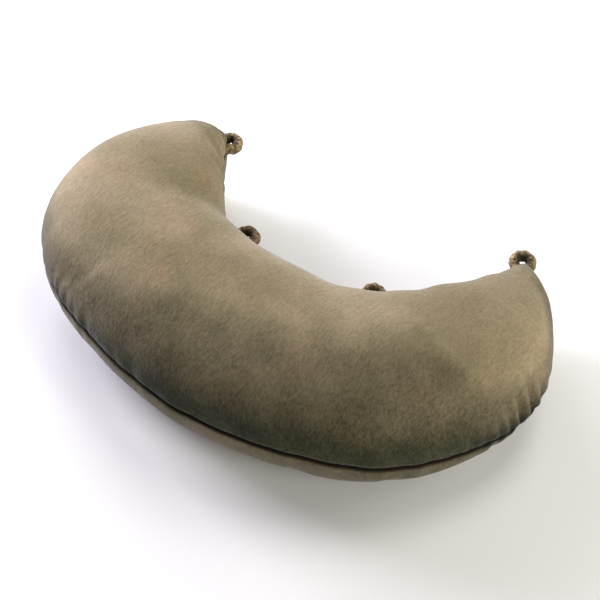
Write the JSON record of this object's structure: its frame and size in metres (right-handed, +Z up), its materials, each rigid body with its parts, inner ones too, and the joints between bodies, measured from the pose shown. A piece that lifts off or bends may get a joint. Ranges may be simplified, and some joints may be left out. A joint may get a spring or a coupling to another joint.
{
  "type": "crescent-shaped microbead cushion with cord loops",
  "caption": "Crescent-shaped microbead cushion in short-pile cloth, two curved panels sewn round the edge, with cord loops in the inner seam",
  "frame": {"origin": "middle of the base of the whole part's bounding box, on the surface it rests on", "axes": "+X along the crescent's long side towards its right tip, +Y from the outer curve towards the hollow and the tips, +Z up from the flat underside"},
  "size_m": [0.6076, 0.4032, 0.1563],
  "materials": {
    "panel_cloth": "short-pile velour, bronze grey, matt with a soft sheen",
    "cord_cloth": "short-pile covered cord, bronze grey, matt"
  },
  "bodies": {
    "root": {"cushion": "panel_cloth", "loop_left_tip": "cord_cloth", "loop_left_inner": "cord_cloth", "loop_right_inner": "cord_cloth", "loop_right_tip": "cord_cloth"}
  },
  "joints": []
}
